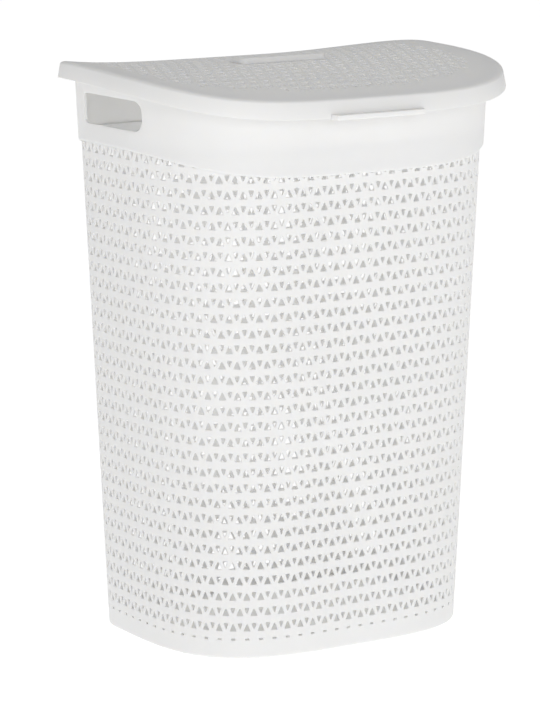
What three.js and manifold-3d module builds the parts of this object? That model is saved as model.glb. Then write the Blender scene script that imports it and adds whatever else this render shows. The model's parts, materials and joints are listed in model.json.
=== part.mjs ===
// Laundry hamper with a hinged lid: a tapered D-shaped basket under a plain collar, and a curved lid.
// Millimetres, +Z up, front towards -Y. It stands on Z = 0, centred over the origin.

import * as THREE from "three";
import { mergeVertices } from "three/addons/utils/BufferGeometryUtils.js";
import Module from "manifold-3d";

const wasm = await Module();
wasm.setup();

// ---- Driving dimensions ----

// Plan of the basket at the floor. Y = 0 is its widest line: in front of it the outline is half a
// superellipse, and behind it are two round corners and a flat back.
const HALF_WIDTH = 179;
const FRONT_DEPTH = 194.3;
const BACK_RADIUS = 46;
const ROUNDNESS = 3.53; // exponent of the superellipse
const DRAFT = 0.042; // every side leans out by this much per mm of height

const WALL = 2.5;
const GAP = 0.3; // between pieces that touch
const FOOT_LEDGE = 10; // width of the ledge that the floor panel sits on
const FOOT_HEIGHT = 4;
const FOOT_CHAMFER = 1.5;
const FLOOR_THICKNESS = 3;

// Collar: its lower edge dips at the front and the back, and rises to the ends.
const COLLAR_FOOT = 500;
const COLLAR_FOOT_RISE = 21;
const COLLAR_FOOT_POWER = 4;
const COLLAR_OUT = 3.2; // how far its face stands proud of the basket wall
const COLLAR_WALL = 2.8;
const COLLAR_CHAMFER = 2;
const LIP_OUT = 12.2;
const LIP_HEIGHT = 5;
const LIP_ROOT = 8;

// Hand slots, one through each end of the collar.
const SLOT_LENGTH = 113;
const SLOT_HEIGHT = 31;
const SLOT_Y = -53;
const SLOT_Z = 558;
const SLOT_RADIUS = 13;
const SLOT_CORNER_STEPS = 6;

// Lid: its rim dips to the front, rises to the back and sweeps up at the two ends. Inside the rim
// the surface swells up to a shallow dome.
const LID_LEVEL = 564.2; // the lid's outline is offset from the basket's outline at this height
const LID_BACK_RADIUS = 55;
const LID_EDGE_OUT = 17.9;
const LID_FRONT_TOP = 578.4;
const LID_BACK_RISE = 11.3;
const LID_END_RISE = 16;
const LID_DOME = 11;
const LID_THICKNESS = 3;
const LID_BORDER = 38; // plain border round the panel
const LID_EDGE_BEVEL = 3;
const PANEL_RINGS = [0.2, 0.4, 0.6, 0.75, 0.9, 1]; // shares of the panel's size, outwards
const SKIRT_OUT = 20.9;
const SKIRT_HEIGHT = 18.3;
const SKIRT_WALL = 2.5;

// Grip on top of the lid: a low ledge, upright at its front and falling away to the back.
const GRIP_WIDTH = 104;
const GRIP_DEPTH = 32;
const GRIP_FRONT_Y = -60;
const GRIP_FRONT_HEIGHT = 6.5;
const GRIP_BACK_HEIGHT = 1.5;
const GRIP_RADIUS = 8;
const GRIP_BEVEL = 0.8; // of the top edge
const GRIP_BEVEL_FOOT = 0.8; // share of the height at which the bevel starts

// Lift tab along the lower edge of the skirt, in the middle of the front.
const TAB_WIDTH = 112;
const TAB_OUT = 7.8;
const TAB_GAP = 0.5; // to the skirt
const TAB_HEIGHT = 6;
const TAB_DROP = 1.5; // how far it hangs below the skirt
const TAB_BEVEL = 1.5;
const TAB_STEPS = 7; // odd, so that the middle one is flat

// Lid hinges: a two-eared bracket on the collar, a knuckle under the lid and a headed pin.
const HINGE_X = 110;
const HINGE_Y = 90.5;
const HINGE_Z = 575;
const HINGE_RADIUS = 4.8;
const PIN_RADIUS = 2;
const BORE_RADIUS = 2.3;
const PIN_HEAD_RADIUS = 3.6;
const PIN_HEAD = 1.5;
const KNUCKLE_WIDTH = 14;
const EAR_WIDTH = 4;
const EAR_PLAY = 1; // between a knuckle and an ear
const BRACKET_PLATE = 3;
const BRACKET_LOW = 562;
const BRACKET_HIGH = 578;
const EAR_LOW = 571; // the open lid's skirt passes under the ears
const EAR_ROOT = 1; // how deep the ears reach into the plate
// Round ends of the ears and the knuckles, in degrees round the axis from the back, upwards.
const EAR_ARC = [-90, 100];
const KNUCKLE_ARC = [180, 375];
const HINGE_ARC_STEPS = 12;

// Steps along the outline and round small circles.
const FRONT_STEPS = 36;
const CORNER_STEPS = 6;
const BACK_STEPS = 10;
const ROUND_STEPS = 24;
const HEIGHT_PASSES = 3;

// ---- Outline ----

// Cosine or sine raised to the superellipse's power, keeping its sign.
const squared = (v) => Math.sign(v) * Math.abs(v) ** (2 / ROUNDNESS);

// The outline, pushed out by offset, as points anticlockwise from the left end. Every outline has
// the same number of points, so that two of them can be joined point by point.
function outline(offset, backRadius) {
  const a = HALF_WIDTH + offset;
  const b = FRONT_DEPTH + offset;
  const r = backRadius + offset;
  const cornerX = a - r;
  const points = [];
  for (let i = 0; i < FRONT_STEPS; i++) {
    const angle = (Math.PI * i) / FRONT_STEPS;
    points.push([-a * squared(Math.cos(angle)), -b * squared(Math.sin(angle))]);
  }
  for (let i = 0; i < CORNER_STEPS; i++) {
    const angle = (Math.PI / 2) * (i / CORNER_STEPS);
    points.push([cornerX + r * Math.cos(angle), r * Math.sin(angle)]);
  }
  for (let i = 0; i < BACK_STEPS; i++) {
    points.push([cornerX * (1 - (2 * i) / BACK_STEPS), r]);
  }
  for (let i = 0; i < CORNER_STEPS; i++) {
    const angle = (Math.PI / 2) * (1 + i / CORNER_STEPS);
    points.push([-cornerX + r * Math.cos(angle), r * Math.sin(angle)]);
  }
  return points;
}

// A ring of the basket: out is measured from its drafted face, and height is a number or a
// function of the place in plan. The place depends on the height in turn, and a few passes settle it.
function basketRing(out, height) {
  const heightAt = typeof height === "function" ? height : () => height;
  const place = (i, z) => outline(out + DRAFT * z, BACK_RADIUS)[i];
  return outline(out, BACK_RADIUS).map((_, i) => {
    let z = LID_LEVEL;
    for (let pass = 0; pass < HEIGHT_PASSES; pass++) {
      z = heightAt(...place(i, z));
    }
    return new THREE.Vector3(...place(i, z), z);
  });
}

// ---- Lid surface and collar edge ----

const lidOffset = DRAFT * LID_LEVEL;
const lidHalfWidth = HALF_WIDTH + lidOffset + LID_EDGE_OUT;
const lidBackY = LID_BACK_RADIUS + lidOffset + LID_EDGE_OUT;
const lidFrontY = -(FRONT_DEPTH + lidOffset + LID_EDGE_OUT);

// Half the lid's width at a place along Y.
function lidReach(y) {
  if (y < 0) {
    const share = Math.min(y / lidFrontY, 1);
    return lidHalfWidth * (1 - share ** ROUNDNESS) ** (1 / ROUNDNESS);
  }
  const rest = Math.max(lidBackY ** 2 - y ** 2, 0);
  return lidHalfWidth - lidBackY + Math.sqrt(rest);
}

// Height of the lid's upper surface.
function crown(x, y) {
  const forward = (lidBackY - y) / (lidBackY - lidFrontY);
  const across = Math.min(Math.abs(x) / lidReach(y), 1);
  const swell = Math.max(1 - (2 * forward - 1) ** 2, 0) * (1 - across ** 4);
  return (
    LID_FRONT_TOP +
    LID_BACK_RISE * (1 - forward ** 2) +
    LID_END_RISE * (x / lidHalfWidth) ** 4 +
    LID_DOME * swell
  );
}

const collarTop = (x, y) => crown(x, y) - LID_THICKNESS - GAP;
const collarHalfWidth = HALF_WIDTH + DRAFT * COLLAR_FOOT;
const collarFoot = (x) =>
  COLLAR_FOOT +
  COLLAR_FOOT_RISE * Math.abs(x / collarHalfWidth) ** COLLAR_FOOT_POWER;

// A ring of the lid, below (or, with a negative drop, above) the lid's surface. Scale draws it in
// towards the middle of the lid.
function lidRing(out, drop, scale = 1) {
  const middleY = (lidFrontY + lidBackY) / 2;
  return outline(lidOffset + out, LID_BACK_RADIUS).map(([x, y]) => {
    const px = x * scale;
    const py = middleY + (y - middleY) * scale;
    return new THREE.Vector3(px, py, crown(px, py) - drop);
  });
}

// ---- Solids from rings ----

// Joins rings of equal length. A closed set joins the last ring to the first, like a hoop, and an
// open set gets a fan of triangles over each end.
function loft(rings, closed) {
  const n = rings[0].length;
  const points = rings.flat();
  const triangles = [];
  const joins = closed ? rings.length : rings.length - 1;
  for (let k = 0; k < joins; k++) {
    const low = k * n;
    const high = ((k + 1) % rings.length) * n;
    for (let i = 0; i < n; i++) {
      const j = (i + 1) % n;
      triangles.push(low + i, low + j, high + j, low + i, high + j, high + i);
    }
  }
  if (!closed) {
    const last = (rings.length - 1) * n;
    const centre = (ring) =>
      ring
        .reduce((sum, p) => sum.add(p), new THREE.Vector3())
        .divideScalar(n);
    const first = points.length;
    points.push(centre(rings[0]), centre(rings.at(-1)));
    for (let i = 0; i < n; i++) {
      const j = (i + 1) % n;
      triangles.push(first, j, i, first + 1, last + i, last + j);
    }
  }
  const geometry = new THREE.BufferGeometry().setFromPoints(points);
  geometry.setIndex(triangles);
  return geometry;
}

// A profile of [y, z] points, anticlockwise as seen from +X, extruded along X from x0 to x1.
function alongX(profile, x0, x1) {
  const at = (x) => profile.map(([y, z]) => new THREE.Vector3(x, y, z));
  return loft([at(x0), at(x1)], false);
}

// Points round the hinge axis, from one angle to another, with 0 pointing back and 90 degrees up.
function hingeArc(radius, [from, to], steps) {
  return Array.from({ length: steps + 1 }, (_, i) => {
    const angle = THREE.MathUtils.degToRad(from + ((to - from) * i) / steps);
    return [
      HINGE_Y + radius * Math.cos(angle),
      HINGE_Z + radius * Math.sin(angle),
    ];
  });
}

const hingeBore = (x0, x1) =>
  alongX(hingeArc(BORE_RADIUS, [0, 360], ROUND_STEPS).slice(1), x0, x1);

// ---- Joining and cutting ----

function toSolid(geometry) {
  const bare = geometry.clone();
  bare.deleteAttribute("normal");
  bare.deleteAttribute("uv");
  const merged = mergeVertices(bare);
  return new wasm.Manifold(
    new wasm.Mesh({
      numProp: 3,
      vertProperties: merged.attributes.position.array,
      triVerts: new Uint32Array(merged.index.array),
    }),
  );
}

function toGeometry(solid) {
  const { vertProperties, triVerts } = solid.getMesh();
  const geometry = new THREE.BufferGeometry();
  geometry.setAttribute(
    "position",
    new THREE.BufferAttribute(vertProperties, 3),
  );
  geometry.setIndex(new THREE.BufferAttribute(triVerts, 1));
  return geometry;
}

// ---- Basket ----

// The wall, with a chamfered foot and the ledge under the floor panel.
function basketWall() {
  const top = (x) => collarFoot(x) - GAP;
  return loft(
    [
      basketRing(-FOOT_CHAMFER, 0),
      basketRing(0, FOOT_CHAMFER),
      basketRing(0, top),
      basketRing(-WALL, top),
      basketRing(-WALL, FOOT_HEIGHT),
      basketRing(-FOOT_LEDGE, FOOT_HEIGHT),
      basketRing(-FOOT_LEDGE, 0),
    ],
    true,
  );
}

function basketFloor() {
  const under = FOOT_HEIGHT + GAP;
  const edge = -(WALL + GAP);
  return loft(
    [basketRing(edge, under), basketRing(edge, under + FLOOR_THICKNESS)],
    false,
  );
}

// The collar sits on the top edge of the wall, and the lid rests on its out-turned lip.
function rimCollar() {
  const inner = COLLAR_OUT - COLLAR_WALL;
  const foot = (rise) => (x) => collarFoot(x) + rise;
  const top = (drop) => (x, y) => collarTop(x, y) - drop;
  const hoop = loft(
    [
      basketRing(COLLAR_OUT - COLLAR_CHAMFER, foot(0)),
      basketRing(COLLAR_OUT, foot(COLLAR_CHAMFER)),
      basketRing(COLLAR_OUT, top(LIP_ROOT)),
      basketRing(LIP_OUT, top(LIP_HEIGHT)),
      basketRing(LIP_OUT, top(0)),
      basketRing(inner, top(0)),
      basketRing(inner, foot(2 * COLLAR_WALL)),
      basketRing(-WALL, foot(COLLAR_WALL)),
      basketRing(-WALL, foot(0)),
    ],
    true,
  );
  const slot = new THREE.Shape();
  const halfLength = SLOT_LENGTH / 2;
  const halfHeight = SLOT_HEIGHT / 2;
  const cornerY = halfLength - SLOT_RADIUS;
  const cornerZ = halfHeight - SLOT_RADIUS;
  const quarter = Math.PI / 2;
  slot.absarc(cornerY, cornerZ, SLOT_RADIUS, 0, quarter);
  slot.absarc(-cornerY, cornerZ, SLOT_RADIUS, quarter, 2 * quarter);
  slot.absarc(-cornerY, -cornerZ, SLOT_RADIUS, 2 * quarter, 3 * quarter);
  slot.absarc(cornerY, -cornerZ, SLOT_RADIUS, 3 * quarter, 4 * quarter);
  const cutter = new THREE.ExtrudeGeometry(slot, {
    depth: 2 * lidHalfWidth,
    bevelEnabled: false,
    curveSegments: SLOT_CORNER_STEPS,
  })
    .translate(0, 0, -lidHalfWidth)
    .rotateY(Math.PI / 2)
    .rotateX(Math.PI / 2)
    .translate(0, SLOT_Y, SLOT_Z);
  return toGeometry(toSolid(hoop).subtract(toSolid(cutter)));
}

// ---- Lid ----

// The plain border of the lid and the skirt turned down from it.
function lidFrame() {
  const inner = LID_EDGE_OUT - LID_BORDER;
  const middle = LID_EDGE_OUT - LID_BORDER / 2;
  return loft(
    [
      lidRing(SKIRT_OUT, SKIRT_HEIGHT),
      lidRing(LID_EDGE_OUT, LID_EDGE_BEVEL),
      lidRing(LID_EDGE_OUT - LID_EDGE_BEVEL, 0),
      lidRing(middle, 0),
      lidRing(inner, 0),
      lidRing(inner, LID_THICKNESS),
      lidRing(middle, LID_THICKNESS),
      lidRing(LID_EDGE_OUT - SKIRT_WALL, LID_THICKNESS),
      lidRing(SKIRT_OUT - SKIRT_WALL, SKIRT_HEIGHT),
    ],
    true,
  );
}

// The curved panel that fills the frame.
function lidPanel() {
  const edge = LID_EDGE_OUT - LID_BORDER - GAP;
  const under = PANEL_RINGS.map((share) => lidRing(edge, LID_THICKNESS, share));
  const upper = PANEL_RINGS.map((share) => lidRing(edge, 0, share));
  return loft([...under, ...upper.reverse()], false);
}

// A ring of the grip, at a share of its height.
function gripRing(share, shrink = 0) {
  const right = GRIP_WIDTH / 2 - shrink;
  const front = GRIP_FRONT_Y + shrink;
  const back = GRIP_FRONT_Y + GRIP_DEPTH - shrink;
  const radius = GRIP_RADIUS - shrink;
  const corners = [
    [-right + radius, front + radius, 180],
    [right - radius, front + radius, 270],
    [right - radius, back - radius, 0],
    [-right + radius, back - radius, 90],
  ];
  const fall = (GRIP_FRONT_HEIGHT - GRIP_BACK_HEIGHT) / GRIP_DEPTH;
  return corners.flatMap(([cx, cy, start]) =>
    [0, 30, 60, 90].map((turn) => {
      const angle = THREE.MathUtils.degToRad(start + turn);
      const x = cx + radius * Math.cos(angle);
      const y = cy + radius * Math.sin(angle);
      const height = GRIP_FRONT_HEIGHT - fall * (y - GRIP_FRONT_Y);
      return new THREE.Vector3(x, y, crown(x, y) + GAP + height * share);
    }),
  );
}

const lidGrip = () =>
  loft(
    [gripRing(0), gripRing(GRIP_BEVEL_FOOT), gripRing(1, GRIP_BEVEL)],
    false,
  );

// The tab follows the front of the skirt. Its section is drawn at each step across its width.
function lidLiftTab() {
  const lowOut = lidOffset + SKIRT_OUT + TAB_GAP;
  const lean = (SKIRT_OUT - LID_EDGE_OUT) / SKIRT_HEIGHT;
  const sections = Array.from({ length: TAB_STEPS + 1 }, (_, i) => {
    const x = TAB_WIDTH * (i / TAB_STEPS - 0.5);
    const a = HALF_WIDTH + lowOut;
    const b = FRONT_DEPTH + lowOut;
    const face = -b * (1 - Math.abs(x / a) ** ROUNDNESS) ** (1 / ROUNDNESS);
    const low = crown(x, face) - SKIRT_HEIGHT - TAB_DROP;
    const high = low + TAB_HEIGHT;
    const section = [
      [face, low],
      [face + lean * (TAB_HEIGHT - TAB_DROP), high],
      [face - TAB_OUT + TAB_BEVEL, high],
      [face - TAB_OUT, high - TAB_BEVEL],
      [face - TAB_OUT, low + TAB_BEVEL],
      [face - TAB_OUT + TAB_BEVEL, low],
    ];
    return section.map(([y, z]) => new THREE.Vector3(x, y, z));
  });
  return loft(sections, false);
}

// ---- Hinges, drawn on the right and mirrored to the left ----

const earInner = KNUCKLE_WIDTH / 2 + EAR_PLAY;
const earOuter = earInner + EAR_WIDTH;

// The collar's back face leans, and the bracket's plate lies against it.
const bracketFace = (z) => BACK_RADIUS + DRAFT * z + COLLAR_OUT + GAP;

function hingeBracket(side) {
  const x = side * HINGE_X;
  const plate = [
    [bracketFace(BRACKET_LOW), BRACKET_LOW],
    [bracketFace(BRACKET_LOW) + BRACKET_PLATE, BRACKET_LOW],
    [bracketFace(BRACKET_HIGH) + BRACKET_PLATE, BRACKET_HIGH],
    [bracketFace(BRACKET_HIGH), BRACKET_HIGH],
  ];
  const ear = [
    [bracketFace(EAR_LOW) + EAR_ROOT, EAR_LOW],
    ...hingeArc(HINGE_RADIUS, EAR_ARC, HINGE_ARC_STEPS),
    [bracketFace(BRACKET_HIGH) + EAR_ROOT, BRACKET_HIGH],
  ];
  return toGeometry(
    toSolid(alongX(plate, x - earOuter, x + earOuter))
      .add(toSolid(alongX(ear, x - earOuter, x - earInner)))
      .add(toSolid(alongX(ear, x + earInner, x + earOuter)))
      .subtract(toSolid(hingeBore(x - HINGE_X / 2, x + HINGE_X / 2))),
  );
}

function lidKnuckle(side) {
  const x = side * HINGE_X;
  const nearX = HINGE_X - KNUCKLE_WIDTH / 2;
  const topBack = HINGE_Y + HINGE_RADIUS / 2;
  const top = crown(nearX, topBack) - LID_THICKNESS - GAP;
  const front = HINGE_Y - HINGE_RADIUS;
  const body = [
    ...hingeArc(HINGE_RADIUS, KNUCKLE_ARC, HINGE_ARC_STEPS),
    [topBack, top],
    [front, top],
  ];
  const half = KNUCKLE_WIDTH / 2;
  return toGeometry(
    toSolid(alongX(body, x - half, x + half)).subtract(
      toSolid(hingeBore(x - HINGE_X / 2, x + HINGE_X / 2)),
    ),
  );
}

// A pin with a head at each end, held in the two ears.
function hingePin(side) {
  const half = earOuter + GAP;
  const profile = [
    new THREE.Vector2(0, -half - PIN_HEAD),
    new THREE.Vector2(PIN_HEAD_RADIUS, -half - PIN_HEAD),
    new THREE.Vector2(PIN_HEAD_RADIUS, -half),
    new THREE.Vector2(PIN_RADIUS, -half),
    new THREE.Vector2(PIN_RADIUS, half),
    new THREE.Vector2(PIN_HEAD_RADIUS, half),
    new THREE.Vector2(PIN_HEAD_RADIUS, half + PIN_HEAD),
    new THREE.Vector2(0, half + PIN_HEAD),
  ];
  return new THREE.LatheGeometry(profile, ROUND_STEPS)
    .rotateZ(-Math.PI / 2)
    .translate(side * HINGE_X, HINGE_Y, HINGE_Z);
}

// ---- Assembly ----

function addPiece(group, name, geometry) {
  const material = new THREE.MeshStandardMaterial({
    color: 0xf2f1ee,
    roughness: 0.42,
    metalness: 0,
    flatShading: true,
  });
  const mesh = new THREE.Mesh(geometry, material);
  mesh.name = name;
  group.add(mesh);
}

const hamper = new THREE.Group();
const frontmost =
  lidFrontY - (SKIRT_OUT - LID_EDGE_OUT) - TAB_GAP - TAB_OUT;
const rearmost = lidBackY + (SKIRT_OUT - LID_EDGE_OUT);
hamper.position.y = -(frontmost + rearmost) / 2;

addPiece(hamper, "basket_wall", basketWall());
addPiece(hamper, "basket_floor", basketFloor());
addPiece(hamper, "rim_collar", rimCollar());
addPiece(hamper, "lid_frame", lidFrame());
addPiece(hamper, "lid_panel", lidPanel());
addPiece(hamper, "lid_grip", lidGrip());
addPiece(hamper, "lid_lift_tab", lidLiftTab());
for (const [name, side] of [
  ["left", -1],
  ["right", 1],
]) {
  addPiece(hamper, `hinge_bracket_${name}`, hingeBracket(side));
  addPiece(hamper, `hinge_pin_${name}`, hingePin(side));
  addPiece(hamper, `lid_knuckle_${name}`, lidKnuckle(side));
}

export default hamper;
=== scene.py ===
"""Laundry hamper with a hinged lid, in white satin plastic, on a plain pale floor.

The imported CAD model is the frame. The perforated wall, the collar and the lid are built here as
meshes in the places of their CAD nodes. Lengths are in metres, +Z is up and -Y is the front.
"""

import json
from math import pi, radians

import bmesh
import bpy
import numpy as np
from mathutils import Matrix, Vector
from mathutils.geometry import delaunay_2d_cdt


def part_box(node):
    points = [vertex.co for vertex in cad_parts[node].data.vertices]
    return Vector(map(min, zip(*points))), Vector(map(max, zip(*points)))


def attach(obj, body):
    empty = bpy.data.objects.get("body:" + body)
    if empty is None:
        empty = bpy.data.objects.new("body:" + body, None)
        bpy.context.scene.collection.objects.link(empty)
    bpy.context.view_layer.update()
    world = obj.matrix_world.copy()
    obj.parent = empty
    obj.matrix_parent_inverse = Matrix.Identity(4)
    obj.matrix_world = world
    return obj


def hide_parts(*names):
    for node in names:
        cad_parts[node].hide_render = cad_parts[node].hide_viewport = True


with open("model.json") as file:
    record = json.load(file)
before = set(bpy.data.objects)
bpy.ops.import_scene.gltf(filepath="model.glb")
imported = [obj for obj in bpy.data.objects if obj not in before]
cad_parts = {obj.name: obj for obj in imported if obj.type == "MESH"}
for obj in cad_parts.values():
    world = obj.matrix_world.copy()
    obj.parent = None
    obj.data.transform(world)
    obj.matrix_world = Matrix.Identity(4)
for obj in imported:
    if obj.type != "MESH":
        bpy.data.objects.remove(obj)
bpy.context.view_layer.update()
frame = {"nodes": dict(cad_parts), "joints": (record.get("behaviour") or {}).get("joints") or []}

MM = 0.001

# ---- Shape of the hamper ----

# Plan at the floor: half a superellipse in front, round corners and a flat back behind.
HALF_WIDTH = 179 * MM
FRONT_DEPTH = 194.3 * MM
BACK_RADIUS = 46 * MM
ROUNDNESS = 3.53
DRAFT = 0.042  # outward lean of every side

HINGE = frame["joints"][0]["pos_m"]
HINGE_BEHIND = 90.5 * MM  # from the widest line of the plan back to the hinge axis
PLAN_Y = HINGE[1] - HINGE_BEHIND

WALL = 2.5 * MM
FOOT_CHAMFER = 1.5 * MM
FOOT_LEDGE = 10 * MM
FOOT_HEIGHT = 4 * MM
STRIP_RINGS = (2.1 * MM, 3 * MM, 5 * MM, 7 * MM)  # extra points low on the strip keep it even

# Wall pattern: rows of upright and inverted triangles that swap places from row to row, between
# plain bands. The rows get a little closer towards the top.
PITCH = 16.15 * MM  # between upright triangles in a row
ROWS = 31
FIRST_BAND = 26 * MM
BAND_STEP = 16.6 * MM
BAND_CLOSING = 0.0172 * MM
ZONE = 8.8 * MM  # height of the triangles' zone within a row
UP_HEIGHT = 7.4 * MM
DOWN_HEIGHT = 6.0 * MM
UP_HALF = 4.2 * MM
DOWN_HALF = 2.9 * MM
TIP_HALF = 0.6 * MM
CORNER_IN = 0.9 * MM
CORNER_UP = 1.1 * MM
DASH_HEIGHT = 2.0 * MM
HOLE_EDGE = 0.5 * MM  # rounding of the holes' edges
WALL_TOP = 530 * MM  # the top of the wall, tucked up inside the collar
WALL_TOP_STEP = 1 * MM
WALL_TOP_EDGE = 0.8 * MM

# Floor panel: its raised border, the slope inside it, and how far the middle lies lower.
PANEL_EDGE = 1 * MM
PANEL_BORDER = 8 * MM
PANEL_SLOPE = 3 * MM
PANEL_DISH = 1.2 * MM
PANEL_OPEN = 30 * MM  # inset of the ring that the panel's underside is closed from

COLLAR_FOOT = 500 * MM  # at the middle of the front and back, from where it rises to the ends
COLLAR_FOOT_RISE = 21 * MM
COLLAR_FOOT_POWER = 4
COLLAR_OUT = 3.2 * MM
COLLAR_WALL = 2.9 * MM
COLLAR_IN = COLLAR_OUT - COLLAR_WALL
LIP_OUT = 12.2 * MM
GAP = 0.3 * MM  # clearance between pieces
# The collar's plain band starts BAND_FOOT above its foot and ends BAND_TOP below its top.
BAND_FOOT = 2.2 * MM
BAND_TOP = 10 * MM
# The foot in section, from inside to outside: offset from the wall, and height above the foot.
FOOT_SECTION = (
    (COLLAR_IN, 1.2 * MM),
    (0.15 * MM, 0.5 * MM),
    (0.15 * MM, 0),
    (COLLAR_OUT - 0.5 * MM, 0),
    (COLLAR_OUT - 0.15 * MM, 0.15 * MM),
    (COLLAR_OUT, 0.6 * MM),
)
# The out-turned lip in section, from outside to inside: offset from the wall, and drop from the top.
LIP_SECTION = (
    (COLLAR_OUT + 0.2 * MM, 4.4 * MM),
    (COLLAR_OUT + 1.2 * MM, 3.2 * MM),
    (LIP_OUT - 2.4 * MM, 2.8 * MM),
    (LIP_OUT - 2.0 * MM, 4.0 * MM),
    (LIP_OUT - 2.0 * MM, 7.5 * MM),
    (LIP_OUT - 1.0 * MM, 8.2 * MM),
    (LIP_OUT, 7.5 * MM),
    (LIP_OUT, 1.6 * MM),
    (LIP_OUT - 0.5 * MM, 0.5 * MM),
    (LIP_OUT - 1.6 * MM, 0),
    (COLLAR_OUT - 0.6 * MM, 0),
    (COLLAR_OUT - 1.8 * MM, 0.6 * MM),
    (COLLAR_IN, 2.4 * MM),
)

SLOT_LENGTH = 118 * MM
SLOT_HEIGHT = 31 * MM
SLOT_Y = -53 * MM
SLOT_Z = 558 * MM
SLOT_RADIUS = 13 * MM
SLOT_EDGE = 1.1 * MM  # rounding of the slots' edges
SLOT_CLEAR = 4 * MM  # extra points of the band keep this far from a slot

LID_LEVEL = 564.2 * MM  # where the wall's lean is measured for the lid's plan
LID_BACK_RADIUS = 55 * MM
LID_EDGE_OUT = 17.9 * MM
LID_FRONT_TOP = 578.4 * MM  # the lid's upper edge at the middle of the front
LID_BACK_RISE = 11.3 * MM
LID_END_RISE = 16 * MM
LID_DOME = 11 * MM
LID_THICKNESS = 3 * MM
LID_BORDER = 35 * MM  # plain border at the front and the back
LID_BORDER_ENDS = 25 * MM
SKIRT_OUT = 20.9 * MM
SKIRT_HEIGHT = 18.3 * MM
SKIRT_WALL = 2.5 * MM
LID_OFFSET = DRAFT * LID_LEVEL
LID_END = HALF_WIDTH + LID_OFFSET + LID_EDGE_OUT
LID_BACK = LID_BACK_RADIUS + LID_OFFSET + LID_EDGE_OUT
LID_FRONT = FRONT_DEPTH + LID_OFFSET + LID_EDGE_OUT
# The rounded edge of the lid is wider and deeper towards the two ends.
SHOULDER = 3.0 * MM
SHOULDER_DROP = 1.8 * MM
SHOULDER_MORE = 5 * MM
SHOULDER_DROP_MORE = 2.5 * MM


# ---- Outlines ----


def outline(t, out, back_radius=BACK_RADIUS):
    """Plan points pushed out by `out`. t runs anticlockwise: 0 left end, 1 right end, 2 to 3 back."""
    t = np.mod(np.asarray(t, float), 4)
    a, b, r = HALF_WIDTH + out, FRONT_DEPTH + out, back_radius + out
    turn = pi * np.clip(t, 0, 1)
    c, s = np.cos(turn), np.sin(turn)
    reach = (np.abs(c / a) ** ROUNDNESS + np.abs(s / b) ** ROUNDNESS) ** (-1 / ROUNDNESS)
    corner = a - r
    right = pi / 2 * np.clip(t - 1, 0, 1)
    left = pi / 2 * (1 + np.clip(t - 3, 0, 1))
    parts = [t <= 1, t <= 2, t <= 3]  # front, right back corner, flat back; then the left corner
    x = np.select(
        parts,
        [-reach * c, corner + r * np.cos(right), corner * (5 - 2 * t)],
        -corner + r * np.cos(left),
    )
    y = np.select(parts, [-reach * s, r * np.sin(right), r + 0 * t], r * np.sin(left))
    return np.stack([x, y + PLAN_Y], -1)


class Stations:
    """Evenly spaced places round an outline. A share of 0 is the middle of the back."""

    SAMPLES = 8000

    def __init__(self, out, back_radius=BACK_RADIUS):
        self.t = np.linspace(2.5, 6.5, self.SAMPLES)
        points = outline(self.t, out, back_radius)
        steps = np.hypot(*np.diff(points, axis=0).T)
        self.length = steps.sum()
        self.share = np.concatenate([[0], np.cumsum(steps)]) / self.length

    def at(self, share):
        return np.interp(np.mod(share, 1), self.share, self.t)

    def share_of(self, t):
        return np.interp(t, self.t, self.share)


def lid_reach(y):
    """Half the lid's width at y, measured back from the widest line."""
    share = np.clip(-y / LID_FRONT, 0, 1)
    ahead = LID_END * (1 - share**ROUNDNESS) ** (1 / ROUNDNESS)
    behind = LID_END - LID_BACK + np.sqrt(np.clip(LID_BACK**2 - y**2, 0, None))
    return np.where(y < 0, ahead, behind)


def crown(x, y):
    """Height of the lid's upper surface: a rim that sweeps up to the ends, and a shallow dome."""
    y = y - PLAN_Y
    forward = (LID_BACK - y) / (LID_BACK + LID_FRONT)
    across = np.minimum(np.abs(x) / np.maximum(lid_reach(y), MM), 1)
    swell = np.clip(1 - (2 * forward - 1) ** 2, 0, None) * (1 - across**4)
    rim = LID_BACK_RISE * (1 - forward**2) + LID_END_RISE * (x / LID_END) ** 4
    return LID_FRONT_TOP + rim + LID_DOME * swell


def collar_foot(x):
    """Height of the collar's lower edge, which sweeps up to the two ends."""
    end = HALF_WIDTH + DRAFT * COLLAR_FOOT
    return COLLAR_FOOT + COLLAR_FOOT_RISE * np.abs(x / end) ** COLLAR_FOOT_POWER


def collar_top(x, y):
    """Height of the collar's upper edge, which follows the lid."""
    return crown(x, y) - LID_THICKNESS - GAP


# ---- Mesh building ----


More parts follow.
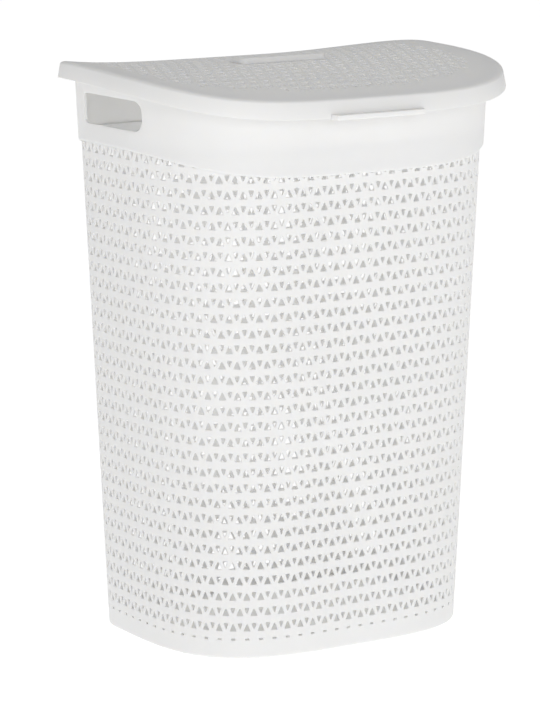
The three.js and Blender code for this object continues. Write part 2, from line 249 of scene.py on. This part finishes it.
class Builder:
    """Collects points and faces, and makes one object of them."""

    def __init__(self):
        self.points = []
        self.faces = []
        self.count = 0

    def add(self, points):
        """Adds an array of points, and returns their indices in the same arrangement."""
        points = np.asarray(points, float)
        flat = points.reshape(-1, 3)
        self.points.append(flat)
        start = self.count
        self.count += len(flat)
        return np.arange(start, self.count).reshape(points.shape[:-1])

    def face(self, *corners):
        """Adds one face, or as many as the corner arrays hold."""
        self.faces.extend(np.stack([np.ravel(c) for c in corners], 1).tolist())

    def bridge(self, low, high, closed=True):
        """Quads between two rows of indices, facing the side from which low runs to the right."""
        a, b = (low, np.roll(low, -1)) if closed else (low[:-1], low[1:])
        d, c = (high, np.roll(high, -1)) if closed else (high[:-1], high[1:])
        self.face(a, b, c, d)

    def sweep(self, rings):
        """Bridges each ring to the next."""
        for low, high in zip(rings, rings[1:]):
            self.bridge(low, high)

    def fill(self, ring, top=True):
        """One face over a ring that runs anticlockwise as seen from above, facing up or down."""
        self.faces.append(ring.tolist() if top else ring[::-1].tolist())

    def make(self, name, sharp=32, merge=0.0):
        mesh = bpy.data.meshes.new(name)
        mesh.from_pydata(np.concatenate(self.points).tolist(), [], self.faces)
        if merge:
            bm = bmesh.new()
            bm.from_mesh(mesh)
            bmesh.ops.remove_doubles(bm, verts=bm.verts, dist=merge)
            bm.to_mesh(mesh)
            bm.free()
        mesh.validate()
        mesh.shade_smooth()
        mesh.set_sharp_from_angle(angle=radians(sharp))
        piece = bpy.data.objects.new(name, mesh)
        bpy.context.scene.collection.objects.link(piece)
        return piece


def normals(point, u, v, step=1e-4):
    """Outward normals of the surface point(u, v), where u runs to the right and v up from outside."""
    du = point(u + step, v) - point(u - step, v)
    dv = point(u, v + step) - point(u, v - step)
    n = np.cross(du, dv)
    return n / np.linalg.norm(n, axis=-1, keepdims=True)


# ---- Triangular holes ----

# Each hole is a triangle with cut corners: six points, anticlockwise from the bottom left.


def up_triangle(grow=0.0):
    """An upright triangle over the foot of its zone, grown by `grow` on every side."""
    half, tip, low, high = UP_HALF + grow, TIP_HALF + grow / 2, -grow, UP_HEIGHT + grow
    side = half - CORNER_UP * (half - tip) / (high - low)
    return np.array([
        [-half + CORNER_IN, low], [half - CORNER_IN, low], [side, low + CORNER_UP],
        [tip, high], [-tip, high], [-side, low + CORNER_UP],
    ])


def down_triangle(grow=0.0, height=DOWN_HEIGHT):
    """An inverted triangle under the top of its zone. A lower one is a dash, as wide below as above."""
    half, tip, low, high = DOWN_HALF + grow, TIP_HALF + grow / 2, ZONE - height - grow, ZONE + grow
    if height < DOWN_HEIGHT:
        tip = half - CORNER_IN
    side = half - CORNER_UP * (half - tip) / (high - low)
    return np.array([
        [-tip, low], [tip, low], [side, high - CORNER_UP],
        [half - CORNER_IN, high], [-half + CORNER_IN, high], [-side, high - CORNER_UP],
    ])


# ---- Basket ----


def basket_wall():
    """The perforated wall, the plain strip at its foot and the ledge under the floor."""
    middle = COLLAR_FOOT / 2
    stations = Stations(DRAFT * middle)
    top_length = Stations(DRAFT * COLLAR_FOOT).length
    columns = round(top_length / PITCH)
    halves = 2 * columns
    half_pitch = top_length / halves

    def point(share, z):
        plan = outline(stations.at(share), DRAFT * z)
        return np.concatenate([plan, np.asarray(z)[..., None]], -1)

    def layer(share, z, depth):
        n = normals(point, share, z)
        return point(share, z) - depth * n

    b = Builder()
    j = np.arange(halves)
    k = np.arange(ROWS + 1)  # row 0 is the row of dashes at the foot
    step = np.arange(-1, ROWS + 1)
    bands = FIRST_BAND + BAND_STEP * step - BAND_CLOSING * step**2
    zone_low = (bands[:-1] + bands[1:] - ZONE) / 2
    up = (j[None, :] + k[:, None]) % 2 == 0
    dash = (k == 0)[:, None] & ~up
    shut = (k == 0)[:, None] & up

    def holes(grow, depth):
        shape = np.where(
            up[..., None, None],
            up_triangle(grow),
            np.where(dash[..., None, None], down_triangle(grow, DASH_HEIGHT), down_triangle(grow)),
        )
        share = (j[None, :, None] + shape[..., 0] / half_pitch) / halves
        z = zone_low[:, None, None] + shape[..., 1]
        return b.add(layer(share, z, depth))

    def lines(depth):
        share = np.broadcast_to((j + 0.5) / halves, (ROWS + 2, halves))
        return b.add(layer(share, np.broadcast_to(bands[:, None], share.shape), depth))

    def skin(hole, line, face):
        """The plastic between the holes, with face(...) called on each set of quads."""
        nxt = np.roll(hole, -1, axis=1)
        low, high = line[:-1], line[1:]
        low_before, high_before = np.roll(low, 1, axis=1), np.roll(high, 1, axis=1)
        h = [hole[..., i] for i in range(6)]
        n = [nxt[..., i] for i in range(6)]
        face(low_before, low, h[1], h[0])
        face(h[4], h[3], high, high_before)
        for mask, quads in (
            (up, ((low, n[0], h[2], h[1]), (h[2], n[0], n[5], h[3]), (h[3], n[5], n[4], high))),
            (~up, ((low, n[0], n[5], h[1]), (h[1], n[5], n[4], h[2]), (h[2], n[4], high, h[3]))),
        ):
            for quad in quads:
                face(*[corner[mask] for corner in quad])

    outer_hole, outer_line = holes(HOLE_EDGE, 0), lines(0)
    inner_hole, inner_line = holes(HOLE_EDGE, WALL), lines(WALL)
    rim_out, rim_in = holes(0, HOLE_EDGE), holes(0, WALL - HOLE_EDGE)
    skin(outer_hole, outer_line, b.face)
    skin(inner_hole, inner_line, lambda *c: b.face(*c[::-1]))
    open_hole = ~shut
    for near, far in ((outer_hole, rim_out), (rim_out, rim_in), (rim_in, inner_hole)):
        for i in range(6):
            m = (i + 1) % 6
            b.face(*[q[open_hole] for q in (near[..., i], near[..., m], far[..., m], far[..., i])])
    b.face(*[outer_hole[..., i][shut] for i in range(6)])
    b.face(*[inner_hole[..., i][shut] for i in range(5, -1, -1)])

    share = (j + 0.5) / halves

    def ring(out, z):
        plan = outline(stations.at(share), DRAFT * z + out)
        return b.add(np.column_stack([plan, np.full(halves, z)]))

    foot = [
        ring(-WALL, FOOT_HEIGHT), ring(-FOOT_LEDGE, FOOT_HEIGHT), ring(-FOOT_LEDGE, 0),
        ring(-FOOT_CHAMFER, 0), ring(-0.4 * FOOT_CHAMFER, 0.4 * FOOT_CHAMFER),
        *[ring(0, z) for z in STRIP_RINGS],
    ]
    b.sweep([inner_line[0], *foot, outer_line[0]])
    top = [
        ring(0, WALL_TOP - WALL_TOP_STEP), ring(COLLAR_IN, WALL_TOP),
        ring(-WALL + WALL_TOP_EDGE, WALL_TOP), ring(-WALL, WALL_TOP - WALL_TOP_EDGE),
    ]
    b.sweep([outer_line[-1], *top, inner_line[-1]])
    return b.make("perforated_wall")


def rounded_loop(half_length, half_height, radius, steps=8):
    """A rounded rectangle round the origin, anticlockwise."""
    turn = np.linspace(0, pi / 2, steps)
    loops = []
    for quarter, (sx, sy) in enumerate(((1, 1), (-1, 1), (-1, -1), (1, -1))):
        angle = turn + quarter * pi / 2
        loops.append(np.column_stack([
            sx * (half_length - radius) + radius * np.cos(angle),
            sy * (half_height - radius) + radius * np.sin(angle),
        ]))
    return np.concatenate(loops)


def triangulate(points, boundary, hole_loops):
    """Triangles over 2-D points, inside the boundary and outside the holes, all lists of indices."""
    loops = [boundary, *hole_loops]
    edges = [(a, b) for loop in loops for a, b in zip(loop, [*loop[1:], loop[0]])]
    faces = [list(loop) for loop in loops]
    out = delaunay_2d_cdt([Vector(p) for p in points], edges, faces, 1, 1e-9)
    _, _, triangles, sources, _, in_faces = out
    index = {i: (s[0] if s else None) for i, s in enumerate(sources)}
    kept = []
    for triangle, inside in zip(triangles, in_faces):
        corners = [index[i] for i in triangle]
        if list(inside) == [0] and None not in corners and len(set(corners)) == 3:
            kept.append(corners)
    return kept


def rim_collar():
    """The plain band with rounded hand slots, a stepped foot and an out-turned lip."""
    stations = Stations(DRAFT * SLOT_Z + COLLAR_OUT)
    length = stations.length
    count = 240
    share = np.arange(count) / count
    t = stations.at(share)

    def point(s, z, out=COLLAR_OUT):
        plan = outline(stations.at(s / length), DRAFT * z + out)
        return np.concatenate([plan, np.asarray(z)[..., None]], -1)

    def ring_points(out, height):
        rough = outline(t, DRAFT * LID_LEVEL + out)
        z = height(rough[:, 0], rough[:, 1])
        plan = np.stack([outline(ti, DRAFT * zi + out) for ti, zi in zip(t, z)])
        return np.column_stack([plan, z])

    b = Builder()
    s = share * length
    z_low = ring_points(COLLAR_OUT, lambda x, y: collar_foot(x) + BAND_FOOT)[:, 2]
    z_high = ring_points(COLLAR_OUT, lambda x, y: collar_top(x, y) - BAND_TOP)[:, 2]

    def slot(side, grow):
        """Loop of a hand slot in (distance round, height), on the left (-1) or right (1) end.

        Its front corners are round, and it stops square behind, at the widest line of the plan.
        """
        loop = rounded_loop(SLOT_LENGTH / 2 + grow, SLOT_HEIGHT / 2 + grow, SLOT_RADIUS + grow)
        t_end = np.linspace(4, 4.5, 400) if side < 0 else np.linspace(4.5, 5, 400)
        y_end = outline(t_end, DRAFT * SLOT_Z + COLLAR_OUT)[:, 1] - PLAN_Y
        order = np.argsort(y_end)
        t_at = np.interp(SLOT_Y + loop[:, 0] * side, y_end[order], t_end[order])
        flat = np.column_stack([stations.share_of(t_at) * length, SLOT_Z + loop[:, 1]])
        area = np.sum(flat[:, 0] * np.roll(flat[:, 1], -1) - np.roll(flat[:, 0], -1) * flat[:, 1])
        return flat if area > 0 else flat[::-1]

    slots = [slot(side, SLOT_EDGE) for side in (-1, 1)]

    def near_slot(place):
        """Whether a place on the band is in a slot or close to it."""
        return any(
            (loop.min(0) - SLOT_CLEAR < place).all() and (place < loop.max(0) + SLOT_CLEAR).all()
            for loop in slots
        )

    closed_s = np.append(s, length)
    low_line = np.column_stack([closed_s, np.append(z_low, z_low[0])])
    high_line = np.column_stack([closed_s, np.append(z_high, z_high[0])])
    band = [*low_line, *high_line[::-1]]
    boundary = list(range(len(band)))
    hole_loops = []
    for loop in slots:
        hole_loops.append(list(range(len(band), len(band) + len(loop))))
        band.extend(loop)
    for level in (0.2, 0.4, 0.6, 0.8):
        row = np.column_stack([s, z_low + level * (z_high - z_low)])
        band.extend(place for place in row if not near_slot(place))
    band = np.array(band)
    triangles = np.array(triangulate(band, boundary, hole_loops))
    outer = b.add(point(band[:, 0], band[:, 1]))
    inner = b.add(point(band[:, 0], band[:, 1], COLLAR_IN))
    b.face(*outer[triangles].T)
    b.face(*inner[triangles[:, ::-1]].T)

    def slot_ring(side, turn, base, inwards):
        """A ring of a slot's rounded edge, turned by up to 90 degrees from the face at `base`."""
        flat = slot(side, SLOT_EDGE * (1 - np.sin(radians(turn))))
        depth = SLOT_EDGE * (1 - np.cos(radians(turn)))
        return b.add(point(flat[:, 0], flat[:, 1], base + inwards * depth))

    for side, loop in zip((-1, 1), hole_loops):
        outer_edge = [slot_ring(side, turn, COLLAR_OUT, -1) for turn in (30, 60, 90)]
        inner_edge = [slot_ring(side, turn, COLLAR_IN, 1) for turn in (90, 60, 30)]
        b.sweep([outer[loop], *outer_edge, *inner_edge, inner[loop]])

    foot = [
        b.add(ring_points(out, lambda x, y, rise=rise: collar_foot(x) + rise))
        for out, rise in FOOT_SECTION
    ]
    lip = [
        b.add(ring_points(out, lambda x, y, drop=drop: collar_top(x, y) - drop))
        for out, drop in LIP_SECTION
    ]
    b.sweep([inner[:count], *foot, outer[:count]])
    high = slice(2 * count + 1, count + 1, -1)  # the band's upper line, which runs the other way
    b.sweep([outer[high], *lip, inner[high]])
    return b.make("plain_collar", merge=1e-6)


# ---- Lid ----

GRIP_WIDTH = 104 * MM
GRIP_DEPTH = 32 * MM
GRIP_FRONT_Y = -60 * MM
GRIP_FRONT_HEIGHT = 6.5 * MM
GRIP_BACK_HEIGHT = 1.5 * MM
GRIP_MARGIN = 2.5 * MM  # plain patch round the grip
GRIP_CORNER = 8 * MM
# The grip's side in section, from its foot up: inset, share of the grip's height, and extra lift.
GRIP_SECTION = (
    (0.6 * MM, 0, -0.4 * MM),
    (0.6 * MM, 0, 0.1 * MM),
    (0.15 * MM, 0, 0.4 * MM),
    (0, 0.2, 0),
    (0, 0.8, 0),
    (0.2 * MM, 0.9, 0),
    (0.7 * MM, 0.97, 0),
    (1.5 * MM, 1, 0),
    (5 * MM, 1, 0.15 * MM),
    (10 * MM, 1, 0.2 * MM),
)
# A grid of extra points keeps the curvature of the patch under the grip.
PATCH_X = np.linspace(-55, 55, 12) * MM
PATCH_Y = np.linspace(4, 28, 4) * MM

TAB_WIDTH = 110 * MM
TAB_REACH = 7.4 * MM
TAB_THICKNESS = 5 * MM
TAB_DROP = 1.2 * MM  # how far it hangs below the skirt
TAB_CORNER = 0.7 * MM
TAB_ROOT = 2 * MM  # how far it goes into the skirt
TAB_STRAIGHT = 0.94  # share of its width before its round ends
TAB_LEAST = 0.001  # share of its reach that is left at the ends

# Pattern of the lid: the same triangles drawn out along Y, in rows that are wider apart.
LID_PITCH = 14.4 * MM
LID_ROW_STEP = 17.5 * MM
LID_ROW_Y = -70 * MM
LID_STRETCH = 1.5
LID_ROWS_AWAY = 12  # rows tried in front of and behind LID_ROW_Y
LID_HALVES_AWAY = 36  # half pitches tried to the left and right of the middle
BORDER_RINGS = (19 * MM, 23 * MM)  # rings of extra points keep the plain border's curvature

SKIRT_EDGE = 0.25 * MM
SKIRT_CRISP = 1.2 * MM  # a ring this far above the skirt's edge keeps the edge crisp
# Hollow corner between the lid and its skirt: inset from the skirt, and drop below the lid.
LID_CORNER = ((2.0 * MM, 1.0 * MM), (0.4 * MM, 3.0 * MM), (0, 5.5 * MM))
SHOULDER_TURNS = (90, 78, 66, 54, 42, 28, 14)


def lid_surface(x, y):
    """Points of the lid's upper surface."""
    return np.stack([x, y, crown(x, y)], -1)


def lid_shell():
    """The lid in one piece: perforated top, plain border, rounded edge and turned-down skirt."""
    stations = Stations(LID_OFFSET + LID_EDGE_OUT, LID_BACK_RADIUS)
    count = 280
    t = stations.at(np.arange(count) / count)

    def layer(x, y, depth):
        n = normals(lid_surface, x, y)
        return lid_surface(x, y) - depth * n

    def plan(out):
        return outline(t, LID_OFFSET + out, LID_BACK_RADIUS)

    def shoulder_plan(out):
        """Plan points where `out` changes along the outline."""
        return np.stack([outline(a, LID_OFFSET + o, LID_BACK_RADIUS) for a, o in zip(t, out)])

    def patterned(p):
        """Whether plan points lie inside the plain border."""
        x, y = np.abs(p[..., 0]), p[..., 1] - PLAN_Y
        end, front, back = LID_END - LID_BORDER_ENDS, LID_FRONT - LID_BORDER, LID_BACK - LID_BORDER
        ahead = (x / end) ** ROUNDNESS + (np.abs(y) / front) ** ROUNDNESS < 1
        behind = x < end - back + np.sqrt(np.clip(back**2 - y**2, 0, None))
        return np.where(y < 0, ahead, behind & (y < back))

    def hole(x, y, inverted, grow=0.0):
        """A triangle round (x, y). The wide ones have their base at the back."""
        shape = (down_triangle if inverted else up_triangle)(grow) - [0, ZONE / 2]
        return [x, y] - shape * [1, LID_STRETCH]

    grip_x = GRIP_WIDTH / 2 + GRIP_MARGIN
    grip_low = PLAN_Y + GRIP_FRONT_Y - GRIP_MARGIN
    grip_high = PLAN_Y + GRIP_FRONT_Y + GRIP_DEPTH + GRIP_MARGIN
    holes = []
    for k in range(-LID_ROWS_AWAY, LID_ROWS_AWAY + 1):
        for j in range(-LID_HALVES_AWAY, LID_HALVES_AWAY + 1):
            y = PLAN_Y + LID_ROW_Y + k * LID_ROW_STEP
            place = (j * LID_PITCH / 2, y, (j + k) % 2 == 1)
            shape = hole(*place, HOLE_EDGE)
            clear = patterned(shape).all()
            on_grip = np.abs(shape[:, 0]) < grip_x
            on_grip &= (shape[:, 1] > grip_low) & (shape[:, 1] < grip_high)
            if clear and not on_grip.any():
                holes.append(place)

    b = Builder()
    more = np.abs(plan(0)[:, 0] / LID_END) ** 3
    width = SHOULDER + SHOULDER_MORE * more
    flat = [*shoulder_plan(LID_EDGE_OUT - width)]
    boundary = list(range(count))
    loops = []
    for place in holes:
        loops.append(list(range(len(flat), len(flat) + 6)))
        flat.extend(hole(*place, HOLE_EDGE))
    for inset in BORDER_RINGS:
        flat.extend(plan(LID_EDGE_OUT - inset)[::3])
    for x in PATCH_X:
        for y in PATCH_Y:
            flat.append([x, PLAN_Y + GRIP_FRONT_Y + y])
    flat = np.array(flat)
    triangles = np.array(triangulate(flat, boundary, loops))
    top = b.add(layer(flat[:, 0], flat[:, 1], 0))
    under = b.add(layer(flat[:, 0], flat[:, 1], LID_THICKNESS))
    b.face(*top[triangles].T)
    b.face(*under[triangles[:, ::-1]].T)
    for place, loop in zip(holes, loops):
        shape = hole(*place)
        rings = [top[loop]]
        for depth in (HOLE_EDGE, LID_THICKNESS - HOLE_EDGE):
            rings.append(b.add(layer(shape[:, 0], shape[:, 1], depth)))
        b.sweep([*rings, under[loop]])

    def ring(out, drop):
        p = plan(out)
        return b.add(np.column_stack([p, crown(p[:, 0], p[:, 1]) - drop]))

    flare = (SKIRT_OUT - LID_EDGE_OUT) / SKIRT_HEIGHT
    skirt_in = LID_EDGE_OUT - SKIRT_WALL
    rings = [
        under[:count],
        *[ring(skirt_in - inset, LID_THICKNESS + drop) for inset, drop in LID_CORNER],
        ring(SKIRT_OUT - SKIRT_WALL, SKIRT_HEIGHT - SKIRT_EDGE),
        ring(SKIRT_OUT - SKIRT_WALL + SKIRT_EDGE, SKIRT_HEIGHT),
        ring(SKIRT_OUT - SKIRT_EDGE, SKIRT_HEIGHT),
        ring(SKIRT_OUT, SKIRT_HEIGHT - SKIRT_EDGE),
        ring(SKIRT_OUT - flare * SKIRT_CRISP, SKIRT_HEIGHT - SKIRT_EDGE - SKIRT_CRISP),
    ]
    for turn in SHOULDER_TURNS:
        drop = (SHOULDER_DROP + SHOULDER_DROP_MORE * more) * (1 - np.cos(radians(turn)))
        out = LID_EDGE_OUT - width * (1 - np.sin(radians(turn))) + flare * drop
        p = shoulder_plan(out)
        rings.append(b.add(np.column_stack([p, crown(p[:, 0], p[:, 1]) - drop])))
    b.sweep([*rings, top[:count]])
    return b.make("perforated_lid")


def lid_grip():
    """A low ledge with soft edges, upright at its front and falling away to the back."""
    b = Builder()

    def ring(inset, share, lift):
        corner = GRIP_CORNER - inset / 2
        loop = rounded_loop(GRIP_WIDTH / 2 - inset, GRIP_DEPTH / 2 - inset, corner, 10)
        back = (loop[:, 1] + GRIP_DEPTH / 2) / GRIP_DEPTH
        y = loop[:, 1] + PLAN_Y + GRIP_FRONT_Y + GRIP_DEPTH / 2
        x = loop[:, 0]
        height = GRIP_FRONT_HEIGHT + (GRIP_BACK_HEIGHT - GRIP_FRONT_HEIGHT) * back
        return b.add(np.column_stack([x, y, crown(x, y) + height * share + lift]))

    rings = [ring(*place) for place in GRIP_SECTION]
    b.sweep(rings)
    b.fill(rings[0], top=False)
    b.fill(rings[-1])
    return b.make("grip", sharp=40)


def lid_lift_tab():
    """A thumb ledge along the lower edge of the skirt, rounded all over."""
    b = Builder()
    half_width = HALF_WIDTH + LID_OFFSET + SKIRT_OUT
    front = FRONT_DEPTH + LID_OFFSET + SKIRT_OUT
    sections = []
    for share in np.linspace(-1, 1, 33):
        x = share * TAB_WIDTH / 2
        face = PLAN_Y - front * (1 - abs(x / half_width) ** ROUNDNESS) ** (1 / ROUNDNESS)
        middle = crown(x, face) - SKIRT_HEIGHT - TAB_DROP + TAB_THICKNESS / 2
        end = max(0.0, abs(share) - TAB_STRAIGHT) / (1 - TAB_STRAIGHT)
        swell = np.sqrt(max(0.0, 1 - end**2))
        reach = TAB_REACH * (swell * (1 - TAB_LEAST) + TAB_LEAST)
        half = (reach + TAB_ROOT) / 2
        loop = rounded_loop(half, TAB_THICKNESS / 2, min(TAB_CORNER, reach / 2), 5)
        y = face + TAB_ROOT - half - loop[:, 0]
        sections.append(b.add(np.column_stack([np.full(len(loop), x), y, middle + loop[:, 1]])))
    for left, right in zip(sections, sections[1:]):
        b.bridge(right, left)
    b.fill(sections[0], top=True)
    b.fill(sections[-1], top=False)
    return b.make("lift_tab", sharp=40)


def floor_panel():
    """The floor of the basket: a panel with a soft raised border."""
    low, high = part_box("basket_floor")
    b = Builder()
    stations = Stations(0)
    count = 160
    t = stations.at(np.arange(count) / count)

    def ring(out, z):
        return b.add(np.column_stack([outline(t, out), np.full(count, z)]))

    edge = -WALL - GAP
    rings = [
        ring(-PANEL_OPEN, low[2]),
        ring(edge, low[2]),
        ring(edge, high[2] - PANEL_EDGE),
        ring(edge - PANEL_EDGE, high[2]),
        ring(-PANEL_BORDER, high[2]),
        ring(-PANEL_BORDER - PANEL_SLOPE, high[2] - PANEL_DISH),
    ]
    b.sweep(rings)
    b.fill(rings[0], top=False)
    b.fill(rings[-1])
    return b.make("floor_panel")


# ---- Material ----

TINT = (0.875, 0.873, 0.866)
DARKER = 0.985
LIGHTER = 1.012
LID_SEED = 3.1  # the lid's noise differs from the basket's
HINGE_EDGE = 0.4 * MM  # rounding of the hinges' edges


def white_plastic(name, seed=0.0):
    """Satin moulded polypropylene: fine grain, and slow changes of shade and sheen."""
    material = bpy.data.materials.new(name)
    material.use_nodes = True
    tree = material.node_tree
    nodes, links = tree.nodes, tree.links
    shader = nodes["Principled BSDF"]
    shader.inputs["IOR"].default_value = 1.49
    shader.inputs["Subsurface Weight"].default_value = 0.5
    shader.inputs["Subsurface Radius"].default_value = (1.0, 0.95, 0.85)
    shader.inputs["Subsurface Scale"].default_value = 0.004

    place = nodes.new("ShaderNodeTexCoord")
    shift = nodes.new("ShaderNodeMapping")
    shift.inputs["Location"].default_value = (seed, seed * 0.7, seed * 1.3)
    links.new(place.outputs["Object"], shift.inputs["Vector"])

    def noise(scale, detail=2.0):
        node = nodes.new("ShaderNodeTexNoise")
        node.inputs["Scale"].default_value = scale
        node.inputs["Detail"].default_value = detail
        links.new(shift.outputs["Vector"], node.inputs["Vector"])
        return node.outputs["Fac"]

    def spread(value, low, high):
        """Maps the middle of a noise's range to low and high."""
        node = nodes.new("ShaderNodeMapRange")
        node.inputs["From Min"].default_value = 0.3
        node.inputs["From Max"].default_value = 0.7
        node.inputs["To Min"].default_value = low
        node.inputs["To Max"].default_value = high
        links.new(value, node.inputs["Value"])
        return node.outputs["Result"]

    shade = nodes.new("ShaderNodeMix")
    shade.data_type = "RGBA"
    links.new(spread(noise(9.0, 3.0), 0.0, 1.0), shade.inputs["Factor"])
    shade.inputs["A"].default_value = (*[c * DARKER for c in TINT], 1)
    shade.inputs["B"].default_value = (*[c * LIGHTER for c in TINT], 1)
    links.new(shade.outputs["Result"], shader.inputs["Base Color"])

    links.new(spread(noise(60.0, 3.0), 0.40, 0.50), shader.inputs["Roughness"])

    grain = nodes.new("ShaderNodeBump")
    grain.inputs["Strength"].default_value = 0.25
    grain.inputs["Distance"].default_value = 0.0002
    links.new(noise(1400.0, 2.0), grain.inputs["Height"])
    wave = nodes.new("ShaderNodeBump")
    wave.inputs["Strength"].default_value = 0.3
    wave.inputs["Distance"].default_value = 0.001
    links.new(noise(18.0, 1.0), wave.inputs["Height"])
    links.new(grain.outputs["Normal"], wave.inputs["Normal"])
    links.new(wave.outputs["Normal"], shader.inputs["Normal"])
    return material


def paint(piece, material):
    piece.data.materials.clear()
    piece.data.materials.append(material)


# ---- Stage, light and camera ----

FLOOR_HALF = 30
FLOOR_SHADE = 0.8
FLOOR_LIGHT = 0.60  # the floor shines a little, so that it stays white round the hamper

# Strength of the sky's light at the horizon and overhead, and its share on the left and right.
SKY_HORIZON = 0.45
SKY_ZENITH = 0.68
SKY_LEFT = 0.97
SKY_RIGHT = 0.75
BACKDROP = 1.05

SOFTBOX_PLACE = (-0.9, -2.9, 1.3)
SOFTBOX_TARGET = (0, 0, 0.35)
SOFTBOX_SIZE = (2.0, 1.6)
SOFTBOX_WATTS = 20

# Lamps inside the basket, over the middle of its plan.
GLOW_Y = PLAN_Y - 70 * MM
GLOW_HEIGHTS = {"low": 180 * MM, "high": 400 * MM}
GLOW_RADIUS = 80 * MM
GLOW_WATTS = 0.12
LID_GLOW_HEIGHT = 470 * MM
LID_GLOW_SIZE = (260 * MM, 160 * MM)
LID_GLOW_WATTS = 0.06

CAMERA_PLACE = (-1.76, PLAN_Y - 2.96649, 0.94544)
CAMERA_DIP = 0.193
CAMERA_ROLL = 0.0044
CAMERA_TURN = -0.5402
LENS = 163.04
SENSOR = 36


def stage():
    mesh = bpy.data.meshes.new("floor")
    corners = [(x * FLOOR_HALF, y * FLOOR_HALF, 0) for x, y in ((-1, -1), (1, -1), (1, 1), (-1, 1))]
    mesh.from_pydata(corners, [], [(0, 1, 2, 3)])
    floor = bpy.data.objects.new("floor", mesh)
    bpy.context.scene.collection.objects.link(floor)
    material = bpy.data.materials.new("pale_floor")
    material.use_nodes = True
    shader = material.node_tree.nodes["Principled BSDF"]
    shader.inputs["Base Color"].default_value = (FLOOR_SHADE, FLOOR_SHADE, FLOOR_SHADE, 1)
    shader.inputs["Roughness"].default_value = 1.0
    shader.inputs["Specular IOR Level"].default_value = 0.0
    shader.inputs["Emission Color"].default_value = (1, 1, 1, 1)
    shader.inputs["Emission Strength"].default_value = FLOOR_LIGHT
    floor.data.materials.append(material)


def sky():
    """Soft light from all round, brightest overhead and on the left, and a white backdrop."""
    world = bpy.data.worlds.new("studio")
    bpy.context.scene.world = world
    world.use_nodes = True
    nodes, links = world.node_tree.nodes, world.node_tree.links
    place = nodes.new("ShaderNodeTexCoord")
    split = nodes.new("ShaderNodeSeparateXYZ")
    links.new(place.outputs["Generated"], split.inputs["Vector"])
    height = nodes.new("ShaderNodeMapRange")
    height.inputs["To Min"].default_value = SKY_HORIZON
    height.inputs["To Max"].default_value = SKY_ZENITH
    links.new(split.outputs["Z"], height.inputs["Value"])
    side = nodes.new("ShaderNodeMapRange")
    side.inputs["From Min"].default_value = -1
    side.inputs["To Min"].default_value = SKY_LEFT
    side.inputs["To Max"].default_value = SKY_RIGHT
    links.new(split.outputs["X"], side.inputs["Value"])
    strength = nodes.new("ShaderNodeMath")
    strength.operation = "MULTIPLY"
    links.new(height.outputs["Result"], strength.inputs[0])
    links.new(side.outputs["Result"], strength.inputs[1])
    soft = nodes["Background"]
    soft.inputs["Color"].default_value = (1, 1, 1, 1)
    links.new(strength.outputs["Value"], soft.inputs["Strength"])
    white = nodes.new("ShaderNodeBackground")
    white.inputs["Strength"].default_value = BACKDROP
    path = nodes.new("ShaderNodeLightPath")
    mix = nodes.new("ShaderNodeMixShader")
    links.new(path.outputs["Is Camera Ray"], mix.inputs["Fac"])
    links.new(soft.outputs["Background"], mix.inputs[1])
    links.new(white.outputs["Background"], mix.inputs[2])
    links.new(mix.outputs["Shader"], nodes["World Output"].inputs["Surface"])


def softbox(name, place, target, size, watts):
    data = bpy.data.lights.new(name, "AREA")
    data.shape = "RECTANGLE"
    data.size, data.size_y = size
    data.energy = watts
    lamp = bpy.data.objects.new(name, data)
    lamp.location = place
    lamp.rotation_euler = (Vector(target) - Vector(place)).to_track_quat("-Z", "Y").to_euler()
    bpy.context.scene.collection.objects.link(lamp)
    return lamp


def glow():
    """Faint lamps inside the basket, for the daylight that its thin walls let through."""
    for level, height in GLOW_HEIGHTS.items():
        data = bpy.data.lights.new(f"{level}_glow", "POINT")
        data.energy = GLOW_WATTS
        data.shadow_soft_size = GLOW_RADIUS
        lamp = bpy.data.objects.new(f"{level}_glow", data)
        lamp.location = (0, GLOW_Y, height)
        lamp.visible_camera = False
        bpy.context.scene.collection.objects.link(lamp)
    place, target = (0, GLOW_Y, LID_GLOW_HEIGHT), (0, GLOW_Y, LID_LEVEL)
    lid_glow = softbox("lid_glow", place, target, LID_GLOW_SIZE, LID_GLOW_WATTS)
    lid_glow.visible_camera = False


def camera():
    data = bpy.data.cameras.new("camera")
    data.lens = LENS
    data.sensor_width = SENSOR
    view = bpy.data.objects.new("camera", data)
    view.location = CAMERA_PLACE
    view.rotation_euler = (pi / 2 - CAMERA_DIP, CAMERA_ROLL, CAMERA_TURN)
    bpy.context.scene.collection.objects.link(view)
    bpy.context.scene.camera = view


# ---- Assembly ----

camera()
stage()
sky()
softbox("front_softbox", SOFTBOX_PLACE, SOFTBOX_TARGET, SOFTBOX_SIZE, SOFTBOX_WATTS)
glow()
bpy.context.scene.view_settings.view_transform = "Standard"

plastic = white_plastic("white_plastic")
lid_plastic = white_plastic("lid_plastic", seed=LID_SEED)

for make, body, nodes, material in (
    (basket_wall, "basket", ("basket_wall",), plastic),
    (rim_collar, "basket", ("rim_collar",), plastic),
    (floor_panel, "basket", ("basket_floor",), plastic),
    (lid_shell, "lid", ("lid_frame", "lid_panel"), lid_plastic),
    (lid_grip, "lid", ("lid_grip",), lid_plastic),
    (lid_lift_tab, "lid", ("lid_lift_tab",), lid_plastic),
):
    piece = make()
    paint(piece, material)
    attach(piece, body)
    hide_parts(*nodes)

for name in ("hinge_bracket", "hinge_pin", "lid_knuckle"):
    for side in ("left", "right"):
        node = frame["nodes"][f"{name}_{side}"]
        paint(node, plastic)
        bevel = node.modifiers.new("soft_edges", "BEVEL")
        bevel.width = HINGE_EDGE
        bevel.segments = 2
        bevel.limit_method = "ANGLE"
